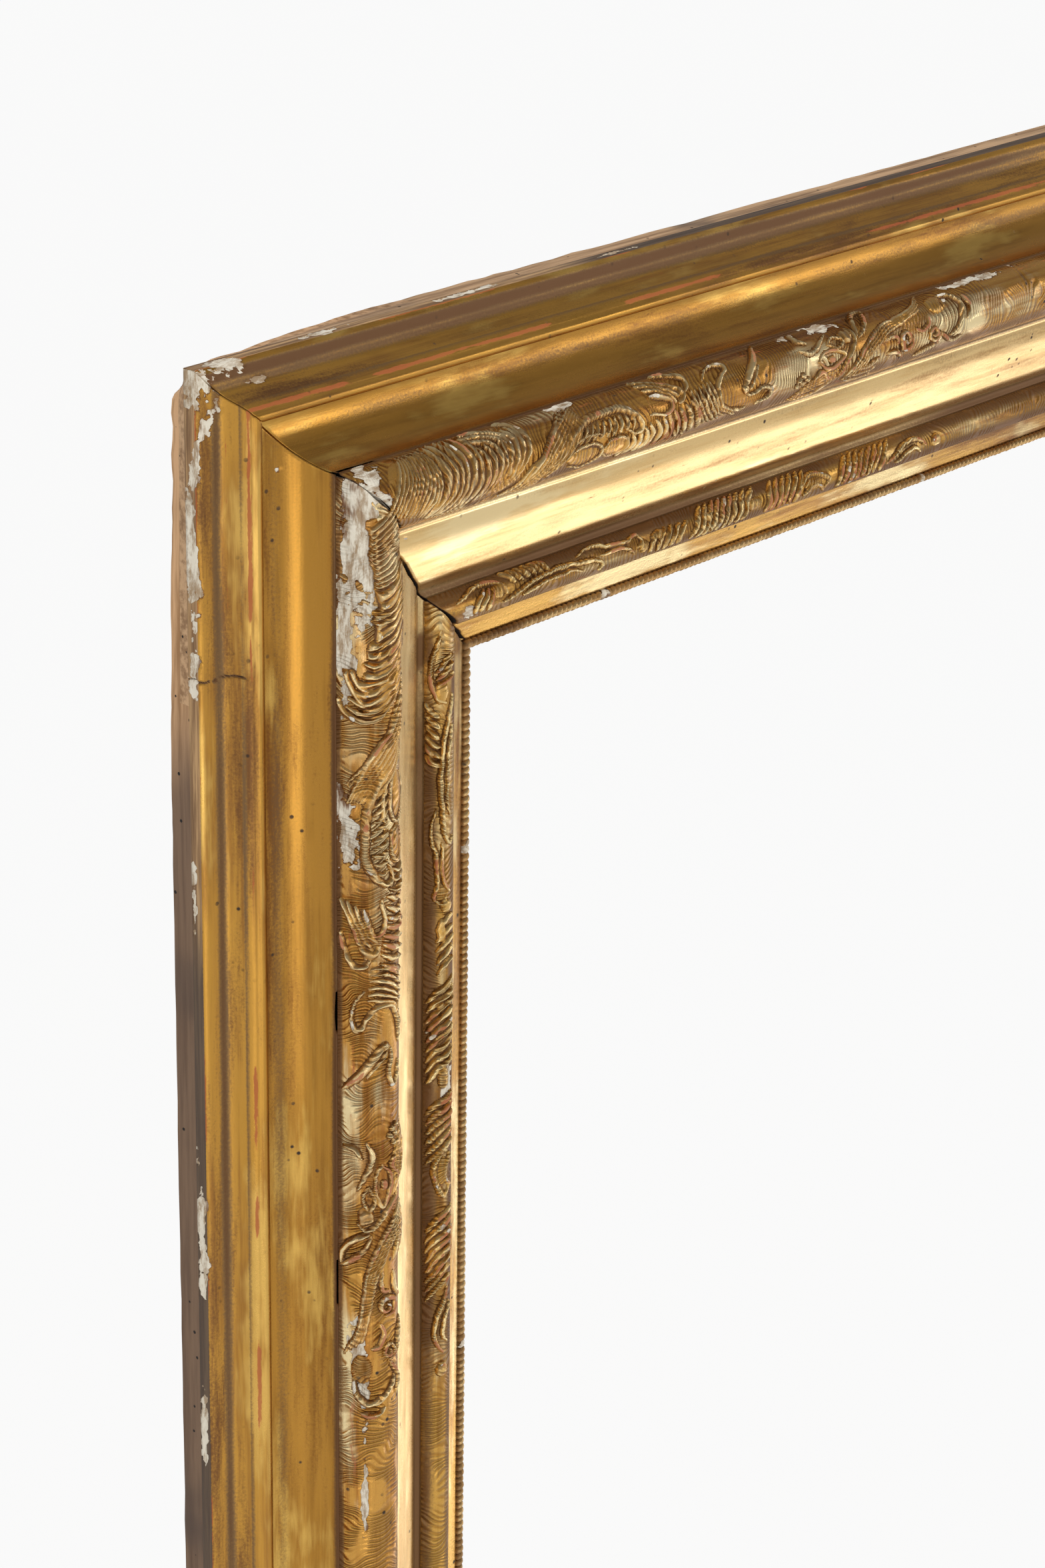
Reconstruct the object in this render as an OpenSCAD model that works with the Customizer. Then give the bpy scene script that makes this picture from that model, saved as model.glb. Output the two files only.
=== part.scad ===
// Ornate gilded picture frame, portrait format, built up from mitred mouldings
// on a half-lapped pine back frame, with composition relief ornament and two
// screw eyes with hanging rings.
//
// X runs to the right seen from the front, Z up, the front faces -Y.
// The origin is on the wall face, at the middle of the top back rail.
// A moulding section is drawn as (u, h): u inwards from the outer edge of the
// frame, h outwards from the wall face.

/* [Picture] */
// Width of the visible picture opening
sight_w = 720; // [500:10:1200]
// Height of the visible picture opening
sight_h = 910; // [500:10:1400]
// How far the rope lip laps over the picture edge
rebate_lip = 8; // [6:0.5:10]
// Depth of the rebate that takes the picture
rebate_depth = 20; // [18:0.5:22]
// Step by which the lip hooks over the rebate strip
lip_hook = 0.5; // [0.3:0.1:1]
// Thickness of the lip behind the rope bead
lip_t = 5.5; // [5:0.25:6]

/* [Back frame] */
// Thickness of the pine back rails
back_t = 10; // [8:0.5:12]
// Radius of the oak pegs through the half laps
peg_r = 4; // [2.5:0.25:6]
// Diagonal offset of the two pegs from the middle of a lap
peg_offset = 24; // [12:1:40]

/* [Mouldings] */
// Width of the outer band, fillet included
band_w = 20.5; // [20:0.25:24]
// Height of the outer band at the outside edge
band_edge_h = 14.7; // [13:0.1:16]
// Height of the fillet between band and cove
fillet_h = 28.3; // [27.5:0.1:30]
// Width of the fillet
fillet_w = 3; // [2:0.25:4]
// Drop from the fillet to the cove
cove_step = 2.3; // [1:0.1:3]
// Radius of the cove
cove_r = 19.5; // [18:0.25:22]
// Radius of the half-round torus
torus_r = 13.7; // [12:0.1:16]
// Width of the ledge inside the torus
ledge_w = 5.6; // [4:0.1:7]
// Drop from the middle of the torus to the ledge
ledge_drop = 3.6; // [2:0.1:6]
// Width of the burnished ogee frieze, ledge not included
frieze_w = 34; // [28:0.5:40]
// Height of the hollow at the foot of the frieze
hollow_h = 27; // [26.5:0.1:28]
// Radius of the ovolo that carries the inner ornament
ovolo_r = 8.5; // [8:0.1:9.5]
// Part of the ovolo radius that lies outside its middle
ovolo_outer = 0.94; // [0.85:0.01:0.98]
// Part of the ovolo radius that lies inside its middle
ovolo_inner = 0.53; // [0.5:0.01:0.7]
// Width of the plain sanded strip
strip_w = 9.1; // [7:0.1:12]
// Height of the plain strip at its outer side
strip_h = 31.3; // [30.5:0.1:32]
// Slope of the plain strip towards the sight edge
strip_drop = 2; // [1:0.1:2.5]
// Radius of the rope bead at the sight edge
rope_r = 2.6; // [2:0.1:3]

/* [Ornament] */
// Relief of the ornament on the torus
torus_relief = 1.7; // [0.8:0.1:2.5]
// Relief of the ornament on the ovolo
band_relief = 1.5; // [0.8:0.1:2]
// Distance from a corner at which the ornament starts
ornament_start = 62; // [56:1:80]
// Spacing of the feathers in the inner ornament
feather_pitch = 10.5; // [9:0.5:14]
// Number of feathers in one run
feathers_per_run = 8; // [4:1:10]
// Number of runs from each corner
feather_runs = 3; // [1:1:3]

/* [Hanging hardware] */
// Distance of the screw eye in each stile below the top edge
eye_drop = 300; // [260:10:340]
// Inner radius of a hanging ring
ring_in_r = 10; // [8:0.5:14]
// Radial width of the flat ring iron
ring_w = 4; // [3:0.25:4.5]
// Thickness of the flat ring iron
ring_t = 3; // [2:0.25:3.5]
// Wire radius of a screw eye
eye_wire_r = 1.5; // [1.2:0.1:2]
// Radius of the shank of a screw eye
shank_r = 1.8; // [1.4:0.1:2.2]
// Length of the shank in the wood
shank_len = 24; // [18:1:30]

/* [Nails] */
// Radius of a nail shank
nail_r = 1.1; // [0.8:0.1:1.5]
// Radius of a nail head
nail_head_r = 2.6; // [2:0.1:3.5]
// Thickness of a nail head
nail_head_t = 1; // [0.6:0.1:1.5]
// Length of a nail
nail_len = 24; // [18:1:26]
// Number of nails in each nailed strip
nails_per_strip = 3; // [2:1:6]
// Distance of the first nail from a corner
nail_inset = 190; // [140:5:220]

/* [Clearances] */
// Gap that shrinkage has opened in each mitre
mitre_gap = 0.4; // [0.2:0.1:1]
// Glue line under curved ornament
glue_gap = 0.1; // [0.05:0.05:0.2]
// Clearance round pegs, nails and screw eyes
pin_gap = 0.05; // [0.02:0.01:0.1]
// Clearance of a hanging ring in its eye
ring_gap = 0.35; // [0.3:0.05:0.6]

/* [Hidden] */
$fn = 64;
overcut = 1;

// Stations across the section, from the outside in
cove_u = band_w;
torus_u = cove_u + cove_r;
ledge_u = torus_u + 2 * torus_r;
frieze_u = ledge_u + ledge_w;
ovolo_u = frieze_u + frieze_w;
torus_h = fillet_h - cove_step + cove_r;
torus_mid = torus_u + torus_r;
ledge_h = torus_h - ledge_drop;
frieze_h = ledge_h - 1;
ovolo_mid = ovolo_u + ovolo_outer * ovolo_r;
ovolo_h = hollow_h - 1;
strip_u = ovolo_mid + ovolo_inner * ovolo_r;
rope_u = strip_u + strip_w;
lip_h = rebate_depth + lip_t;
rail_w = rope_u + 2 * rope_r;
back_w = rail_w - rebate_lip;

out_w = sight_w + 2 * rail_w;
out_h = sight_h + 2 * rail_w;
top_z = back_w / 2;
mid_z = top_z - out_h / 2;

SIDES = ["top", "right", "bottom", "left"];
function side_turn(side) = side == "top" ? 0 : side == "right" ? 90 : side == "bottom" ? 180 : 270;
function is_stile(side) = side == "left" || side == "right";
function side_len(side) = is_stile(side) ? out_h : out_w;
function side_off(side) = is_stile(side) ? out_w / 2 : out_h / 2;

STRIPS = ["outer_moulding", "cove_moulding", "torus_moulding", "frieze_moulding",
          "rebate_strip", "sight_moulding", "sight_rope", "torus_ornament", "sight_ornament"];

pine = "#8c745c";
gold = "#c39a45";
burnished = "#e0bd6a";
old_gold = "#a9813c";
iron = "#4a443e";

// Places a piece drawn with s along the rail, u inwards and h outwards on one side
module on_side(side) {
    translate([0, 0, mid_z])
        rotate([0, side_turn(side), 0])
            translate([side_len(side) / 2, 0, side_off(side)])
                rotate([-90, 0, 180])
                    children();
}

// Plan of one side between its two mitres
module mitre_plan(len) {
    half = mitre_gap / 2 * sqrt(2);
    polygon([[half, 0], [len - half, 0], [len - half - rail_w, rail_w], [half + rail_w, rail_w]]);
}

// Extrudes a (u, h) section along a side and mitres both ends
module mitred(side) {
    len = side_len(side);
    intersection() {
        rotate([90, 0, 90])
            linear_extrude(len)
                children();
        linear_extrude(torus_h + torus_r + overcut)
            mitre_plan(len);
    }
}

// Points of a smooth S curve from p to q, both ends level
function ogee(p, q, steps) = [for (i = [0 : steps])
    [p[0] + (q[0] - p[0]) * i / steps, p[1] + (q[1] - p[1]) * (1 - cos(180 * i / steps)) / 2]];

// Sections
module outer_section() {
    shoulder = [2, band_edge_h + 1.6];
    quirk = [band_w - fillet_w, fillet_h - 1.2];
    polygon(concat(
        [[0, back_t], [0, band_edge_h], shoulder],
        ogee([shoulder[0] + 6, shoulder[1] + 1], quirk, 10),
        [[band_w - fillet_w + 0.4, fillet_h], [band_w, fillet_h], [band_w, back_t]]));
}

module cove_section() {
    difference() {
        translate([cove_u, back_t])
            square([cove_r, torus_h - back_t]);
        translate([cove_u, torus_h])
            circle(cove_r, $fn = 96);
    }
}

module torus_section() {
    translate([torus_u, back_t])
        square([2 * torus_r, torus_h - back_t]);
    translate([torus_mid, torus_h])
        circle(torus_r, $fn = 96);
}

module frieze_section() {
    valley = [ovolo_u - 5.5, hollow_h];
    polygon(concat(
        [[ledge_u, back_t], [ledge_u, ledge_h], [frieze_u - 0.4, frieze_h + 0.2]],
        ogee([frieze_u, frieze_h], valley, 14),
        [[ovolo_u - 2.5, hollow_h + 0.4], [ovolo_u, hollow_h + 1.8], [ovolo_u, back_t]]));
}

module rebate_section() {
    translate([ovolo_u, back_t])
        square([back_w - ovolo_u, rebate_depth + lip_hook - back_t]);
}

module sight_section() {
    seat_h = rebate_depth + lip_hook;
    polygon([[ovolo_u, seat_h], [back_w, seat_h], [back_w, rebate_depth],
        [rail_w, rebate_depth], [rail_w, lip_h], [rope_u, lip_h], [rope_u, strip_h - strip_drop], [strip_u, strip_h], [strip_u, ovolo_h], [ovolo_u, ovolo_h]]);
    intersection() {
        translate([ovolo_mid, ovolo_h])
            circle(ovolo_r, $fn = 96);
        translate([ovolo_u, ovolo_h])
            square([strip_u - ovolo_u, ovolo_r]);
    }
}

module rope_section() {
    translate([rope_u, lip_h])
        square([2 * rope_r, rope_r]);
    translate([rope_u + rope_r, lip_h + rope_r])
        circle(rope_r, $fn = 48);
}

// A flat leaf, pointed at both ends, along +X from the origin
module leaf(len, wide) {
    r = (len * len / 4 + wide * wide / 4) / wide;
    intersection() {
        translate([len / 2, r - wide / 2])
            circle(r, $fn = 360);
        translate([len / 2, wide / 2 - r])
            circle(r, $fn = 360);
    }
}

// A fan of separate ribs round one root, as in a shell
module shell(r, ribs, from, to, wide) {
    root = 0.22 * r;
    for (i = [0 : ribs - 1])
        rotate(from + (to - from) * i / (ribs - 1))
            translate([root, 0])
                leaf(r - root, wide);
}

// A row of parallel ribs, each turned the same way
module comb(ribs, pitch, len, wide, turn) {
    for (i = [0 : ribs - 1])
        translate([i * pitch, 0])
            rotate(turn)
                leaf(len, wide);
}

// A C scroll: part of a ring, open towards +X, with a round eye at one end
module scroll(r, wide, open) {
    difference() {
        circle(r);
        circle(r - wide);
        polygon([[0, 0], [3 * r, -3 * r * tan(open / 2)], [3 * r, 3 * r * tan(open / 2)]]);
    }
    rotate(open / 2)
        translate([r - wide / 2, 0])
            circle(wide);
}

// A flat arch: the outer part of a wide ring, ending at half its span on each side
module arch(r, wide, half) {
    intersection() {
        difference() {
            circle(r, $fn = 360);
            circle(r - wide, $fn = 360);
        }
        translate([-half, -r])
            square([2 * half, r]);
    }
}

// A rosette of round petals about a boss
module rosette(r, petals) {
    circle(r * 0.34);
    for (i = [0 : petals - 1])
        rotate(360 * i / petals)
            translate([r * 0.62, 0])
                circle(r * 0.3);
}

// Ornament of one corner, in the plan of a side whose corner is at s = 0: a small
// shell and a tall comb, strands that lead to an arch over flutes, a comb with a
// C scroll, a leaf and its curl, a rosette, long strands with two curls and the end buds
module torus_motifs() {
    s = ornament_start;
    translate([s, torus_mid]) {
        translate([-2, 8])
            shell(21, 6, 275, 330, 3);
        translate([28, -11])
            comb(9, 4.6, 19, 3.2, 100);
        translate([74, 4])
            rotate(-28)
                leaf(34, 4.6);
        translate([83, 7])
            rotate(-16)
                leaf(30, 4);
        translate([112, 18])
            arch(28, 2.6, 22);
        translate([101, -4])
            comb(6, 5, 8, 2.4, 80);
        translate([134, -1])
            comb(7, 4.8, 10, 3.2, 82);
        translate([147, -10])
            rotate(18)
                leaf(18, 5);
        translate([170, -8])
            comb(4, 3.2, 16, 2.6, 84);
        translate([192, -4])
            scroll(8, 2.6, 100);
        translate([200, -2])
            rotate(-42)
                leaf(20, 5);
        translate([200, 2])
            leaf(18, 5);
        translate([236, 2])
            circle(2.4);
        translate([260, -2])
            rosette(9, 6);
        translate([278, 3])
            rotate(-60)
                leaf(19, 5);
        translate([280, 3])
            rotate(-17)
                leaf(46, 4.6);
        translate([286, 7])
            rotate(-5)
                leaf(24, 4.4);
        translate([312, -2])
            scroll(5.5, 2, 110);
        translate([331, -1])
            scroll(4.5, 1.8, 110);
        translate([348, -9])
            comb(3, 4, 14, 3, 95);
    }
}

// Skin round a half-round of radius r, as thick as its relief
module skin(mid, base, r, relief, len, from_u, to_u) {
    rotate([90, 0, 90])
        linear_extrude(len)
            intersection() {
                translate([mid, base])
                    difference() {
                        circle(r + relief, $fn = 96);
                        circle(r + glue_gap, $fn = 96);
                    }
                translate([from_u, base + 1])
                    square([to_u - from_u, r + relief]);
            }
}

// Repeats a corner's ornament at both ends of a side and mitres it
module at_both_ends(len) {
    intersection() {
        for (end = [0, 1])
            translate([end * len, 0])
                mirror([end, 0])
                    children();
        mitre_plan(len);
    }
}

module back_rail(side) {
    len = side_len(side);
    lap = back_t / 2;
    color(pine)
        difference() {
            on_side(side)
                difference() {
                    cube([len, back_w, back_t]);
                    for (end = [0, 1])
                        translate([end * (len - back_w) - (1 - end) * overcut, -overcut,
                                   is_stile(side) ? lap : -overcut])
                            cube([back_w + overcut, back_w + 2 * overcut, lap + overcut]);
                    nail_holes(side);
                }
            peg_set(peg_r + pin_gap, overcut);
            if (is_stile(side))
                eye_holes();
        }
}

module outer_moulding(side) color(gold) on_side(side) mitred(side) outer_section();
module cove_moulding(side) color(gold) on_side(side) mitred(side) cove_section();
module rebate_strip(side) color(pine) on_side(side) mitred(side) rebate_section();
module sight_moulding(side) color(old_gold) on_side(side) mitred(side) sight_section();
module sight_rope(side) color(old_gold) on_side(side) mitred(side) rope_section();

module torus_moulding(side) {
    color(old_gold)
        difference() {
            on_side(side)
                difference() {
                    mitred(side)
                        torus_section();
                    nail_holes(side);
                }
            if (is_stile(side))
                eye_holes();
        }
}

module frieze_moulding(side) {
    color(burnished)
        on_side(side)
            difference() {
                mitred(side)
                    frieze_section();
                nail_holes(side);
            }
}

module torus_ornament(side) {
    len = side_len(side);
    color(old_gold)
        on_side(side)
            intersection() {
                skin(torus_mid, torus_h, torus_r, torus_relief, len, torus_u - 1, ledge_u + 1);
                linear_extrude(torus_h + torus_r + torus_relief + overcut)
                    at_both_ends(len)
                        torus_motifs();
            }
}

// Runs of slanting feathers from one corner, each run led by a disc
module sight_motifs() {
    run = feathers_per_run * feather_pitch + 14;
    for (i = [0 : feather_runs - 1], j = [0 : feathers_per_run])
        translate([ovolo_mid + 16 + i * run + j * feather_pitch, ovolo_mid - 6])
            if (j == 0)
                translate([0, 5])
                    circle(4.2);
            else
                rotate(58)
                    leaf(12, 4.4);
}

module sight_ornament(side) {
    len = side_len(side);
    color(old_gold)
        on_side(side)
            intersection() {
                skin(ovolo_mid, ovolo_h, ovolo_r, band_relief, len, ovolo_u, strip_u);
                linear_extrude(ovolo_h + ovolo_r + band_relief + overcut)
                    at_both_ends(len)
                        sight_motifs();
            }
}

// Pegs through the half laps, two to a corner
module peg_set(r, over) {
    for (x = [-1, 1], z = [-1, 1], d = [-1, 1])
        translate([x * (out_w / 2 - back_w / 2 + d * peg_offset), over,
                   mid_z + z * (out_h / 2 - back_w / 2 - d * peg_offset)])
            rotate([90, 0, 0])
                cylinder(h = back_t + 2 * over, r = r);
}

module corner_pegs() color("#9c7f57") peg_set(peg_r, 0);

// Nails driven from the back into the torus and frieze mouldings
module nail_places(side) {
    len = side_len(side);
    step = (len - 2 * nail_inset) / (nails_per_strip - 1);
    for (i = [0 : nails_per_strip - 1], u = [torus_mid, frieze_u + frieze_w * 0.35])
        translate([nail_inset + i * step, u, 0])
            children();
}

module nail_holes(side) {
    nail_places(side) {
        translate([0, 0, -overcut])
            cylinder(h = nail_head_t + overcut, r = nail_head_r + pin_gap);
        cylinder(h = nail_len + pin_gap, r = nail_r + pin_gap);
    }
}

module moulding_nails() {
    color(iron)
        for (side = SIDES)
            on_side(side)
                nail_places(side) {
                    cylinder(h = nail_head_t, r = nail_head_r);
                    cylinder(h = nail_len, r = nail_r);
                }
}

// Screw eyes in the stiles: the loop stands behind the wall face
eye_hole_r = norm([ring_t / 2, ring_w / 2 + ring_gap]) + ring_gap;
eye_loop_r = eye_hole_r + eye_wire_r;
eye_y = eye_loop_r + eye_wire_r + 0.6;
eye_x = out_w / 2 - torus_mid;
eye_z = top_z - eye_drop;
hinge_z = eye_z - ring_gap;

module eye_holes() {
    for (x = [-eye_x, eye_x])
        translate([x, overcut, eye_z])
            rotate([90, 0, 0])
                cylinder(h = shank_len + pin_gap + overcut, r = shank_r + pin_gap);
}

module screw_eye(x) {
    color(iron)
        translate([x, 0, eye_z]) {
            translate([0, eye_y, 0])
                rotate([0, 90, 0])
                    rotate_extrude()
                        translate([eye_loop_r, 0])
                            circle(eye_wire_r);
            translate([0, eye_y - eye_loop_r, 0])
                rotate([90, 0, 0])
                    cylinder(h = shank_len + eye_y - eye_loop_r, r = shank_r);
        }
}

module hanging_ring(x) {
    color(iron)
        translate([x, eye_y + ring_t / 2, hinge_z - ring_in_r - ring_w / 2])
            rotate([90, 0, 0])
                difference() {
                    cylinder(h = ring_t, r = ring_in_r + ring_w);
                    translate([0, 0, -overcut])
                        cylinder(h = ring_t + 2 * overcut, r = ring_in_r);
                }
}

module strip(kind, side) {
    if (kind == "outer_moulding") outer_moulding(side);
    if (kind == "cove_moulding") cove_moulding(side);
    if (kind == "torus_moulding") torus_moulding(side);
    if (kind == "frieze_moulding") frieze_moulding(side);
    if (kind == "rebate_strip") rebate_strip(side);
    if (kind == "sight_moulding") sight_moulding(side);
    if (kind == "sight_rope") sight_rope(side);
    if (kind == "torus_ornament") torus_ornament(side);
    if (kind == "sight_ornament") sight_ornament(side);
}

for (side = SIDES)
    back_rail(side);
for (kind = STRIPS, side = SIDES)
    strip(kind, side);
corner_pegs();
moulding_nails();
screw_eye(-eye_x);  // screw_eye_left
screw_eye(eye_x);  // screw_eye_right
hanging_ring(-eye_x);  // hanging_ring_left
hanging_ring(eye_x);  // hanging_ring_right
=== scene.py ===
# A worn water-gilded picture frame: mitred mouldings, pressed ornament, a rope bead at the
# sight edge, a pine back frame with pegs and nails, and two hanging rings.
import math

import bmesh
import bpy
import numpy as np
from mathutils import Matrix, Vector


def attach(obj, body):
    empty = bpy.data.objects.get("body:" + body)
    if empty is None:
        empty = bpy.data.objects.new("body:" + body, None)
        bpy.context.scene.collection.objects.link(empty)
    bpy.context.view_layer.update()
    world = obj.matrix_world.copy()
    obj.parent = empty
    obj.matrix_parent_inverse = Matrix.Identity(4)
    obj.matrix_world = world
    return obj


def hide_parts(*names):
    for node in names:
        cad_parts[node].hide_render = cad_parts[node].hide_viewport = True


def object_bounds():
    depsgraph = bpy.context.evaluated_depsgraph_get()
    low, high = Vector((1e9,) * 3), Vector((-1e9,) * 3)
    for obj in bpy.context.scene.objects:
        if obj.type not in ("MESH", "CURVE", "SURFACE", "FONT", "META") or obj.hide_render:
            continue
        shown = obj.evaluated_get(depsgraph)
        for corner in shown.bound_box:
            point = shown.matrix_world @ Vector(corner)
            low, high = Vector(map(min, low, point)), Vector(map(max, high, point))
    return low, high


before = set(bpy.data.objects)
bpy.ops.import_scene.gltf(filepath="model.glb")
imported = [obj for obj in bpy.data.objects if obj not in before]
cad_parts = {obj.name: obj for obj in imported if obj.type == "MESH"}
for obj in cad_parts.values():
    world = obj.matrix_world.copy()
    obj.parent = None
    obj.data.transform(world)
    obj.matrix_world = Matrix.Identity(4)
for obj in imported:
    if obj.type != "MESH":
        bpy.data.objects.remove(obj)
cadLow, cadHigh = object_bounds()
mm = 0.001
sides = ("top", "right", "bottom", "left")

# The outer size is read off the CAD, and the section has the same values as its source, in mm
frameSize = {
    "width": (cadHigh[0] - cadLow[0]) / mm,
    "height": (cadHigh[2] - cadLow[2]) / mm,
    "topZ": cadHigh[2] / mm,
    "mitreGap": 0.4,
}
section = {
    "bandWidth": 20.5, "bandEdge": 14.7, "filletWidth": 3.0, "filletHeight": 28.3, "backThickness": 10.0,
    "coveStep": 2.3, "coveRadius": 19.5, "torusRadius": 13.7, "ledgeWidth": 5.6, "ledgeDrop": 3.6,
    "friezeWidth": 34.0, "hollow": 27.0, "ovoloRadius": 8.5, "stripWidth": 9.1, "stripHeight": 31.3,
    "stripDrop": 2.0, "ropeRadius": 2.6, "rebate": 20.0, "lip": 5.5, "lipHook": 0.5,
    "ovoloOuter": 0.94, "ovoloInner": 0.53,
}
coveU = section["bandWidth"]
torusU = coveU + section["coveRadius"]
torusMid = torusU + section["torusRadius"]
torusH = section["filletHeight"] - section["coveStep"] + section["coveRadius"]
ledgeU = torusMid + section["torusRadius"]
friezeU = ledgeU + section["ledgeWidth"]
ledgeH = torusH - section["ledgeDrop"]
ovoloU = friezeU + section["friezeWidth"]
ovoloMid = ovoloU + section["ovoloOuter"] * section["ovoloRadius"]
ovoloH = section["hollow"] - 1
stripU = ovoloMid + section["ovoloInner"] * section["ovoloRadius"]
ropeU = stripU + section["stripWidth"]
lipH = section["rebate"] + section["lip"]
railWidth = ropeU + 2 * section["ropeRadius"]
backWidth = railWidth - 8


def sideLength(side):
    return frameSize["height" if side in ("left", "right") else "width"]


# s runs along a side from its top or left corner, u inwards from the outer edge, h out from the wall
def place(side, s, u, h):
    halfWidth, topZ = frameSize["width"] / 2, frameSize["topZ"]
    if side == "top":
        x, z = s - halfWidth, topZ - u
    elif side == "bottom":
        x, z = s - halfWidth, topZ - frameSize["height"] + u
    elif side == "left":
        x, z = u - halfWidth, topZ - s
    else:
        x, z = halfWidth - u, topZ - s
    return np.stack([x, 0 * x - h, z], -1) * mm


def smooth(edge0, edge1, x):
    t = np.clip((x - edge0) / (edge1 - edge0), 0, 1)
    return t * t * (3 - 2 * t)


# Smooth seeded noise from 0 to 1 over two coordinates in mm
def noise(x, y, size, seed, octaves=3):
    total = np.zeros_like(x, dtype=float)
    weight = 0.0
    for octave in range(octaves):
        grid = np.random.default_rng(seed + 31 * octave).random((257, 257))
        cell = size / 2 ** octave
        gx, gy = x / cell + 61.3 * octave, y / cell + 17.9 * octave
        ix, iy = np.floor(gx).astype(int), np.floor(gy).astype(int)
        fx, fy = gx - ix, gy - iy
        fx, fy = fx * fx * (3 - 2 * fx), fy * fy * (3 - 2 * fy)
        a, b = grid[ix % 257, iy % 257], grid[(ix + 1) % 257, iy % 257]
        c, d = grid[ix % 257, (iy + 1) % 257], grid[(ix + 1) % 257, (iy + 1) % 257]
        total += ((a * (1 - fx) + b * fx) * (1 - fy) + (c * (1 - fx) + d * fx) * fy) * 0.5 ** octave
        weight += 0.5 ** octave
    return total / weight


# Materials
def hexColour(code):
    def linear(c):
        return c / 12.92 if c <= 0.04045 else ((c + 0.055) / 1.055) ** 2.4
    return tuple(linear(int(code[i:i + 2], 16) / 255) for i in (1, 3, 5)) + (1.0,)


def setInputs(tree, node, inputs):
    for name, value in inputs.items():
        if isinstance(value, bpy.types.NodeSocket):
            tree.links.new(value, node.inputs[name])
        else:
            node.inputs[name].default_value = value


def addNode(tree, kind, inputs=None, **settings):
    added = tree.nodes.new(kind)
    for name, value in settings.items():
        setattr(added, name, value)
    setInputs(tree, added, inputs or {})
    return added


def mixColour(tree, factor, a, b):
    a, b = (hexColour(c) if isinstance(c, str) else c for c in (a, b))
    return addNode(tree, "ShaderNodeMix", {0: factor, 6: a, 7: b}, data_type="RGBA").outputs[2]


def ramp(tree, value, low, high):
    mapped = addNode(tree, "ShaderNodeMapRange", {0: value, 1: low, 2: high}, clamp=True)
    mapped.interpolation_type = "SMOOTHSTEP"
    return mapped.outputs[0]


def maths(tree, operation, a, b=0.0):
    return addNode(tree, "ShaderNodeMath", {0: a, 1: b}, operation=operation).outputs[0]


def stretched(tree, vector, scale):
    return addNode(tree, "ShaderNodeMapping", {"Vector": vector, "Scale": scale}).outputs[0]


def noiseTexture(tree, vector, scale, detail, rough=0.5):
    return addNode(tree, "ShaderNodeTexNoise", {
        "Vector": vector, "Scale": scale, "Detail": detail, "Roughness": rough}).outputs[0]


# Distance to the nearest of many scattered points
def scattered(tree, vector, scale):
    return addNode(tree, "ShaderNodeTexVoronoi", {"Vector": vector, "Scale": scale}).outputs["Distance"]


def bumped(tree, height, strength, depth):
    inputs = {"Height": height, "Strength": strength, "Distance": depth}
    return addNode(tree, "ShaderNodeBump", inputs).outputs[0]


def newMaterial(name):
    material = bpy.data.materials.new(name)
    material.use_nodes = True
    tree = material.node_tree
    tree.nodes.clear()
    shader = addNode(tree, "ShaderNodeBsdfPrincipled")
    addNode(tree, "ShaderNodeOutputMaterial", {"Surface": shader.outputs[0]})
    return material, tree, shader


# What lies under and over the leaf, and the colours of painted shade and shadow, the same on every gilded
# piece
aged = {
    "veinDirtAndShade": "#95601f", "deepDirtAndShade": "#6b431f", "clay": "#b4562a", "speck": "#3a2817", "crack": "#21160d",
    "chalk": "#ebe2cf", "dustyChalk": "#a98f70", "brownChalk": "#7a5334",
    "paleWood": "#c8a070", "darkWood": "#7d5c3c", "shadowedWood": "#4a3d34",
}
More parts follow.
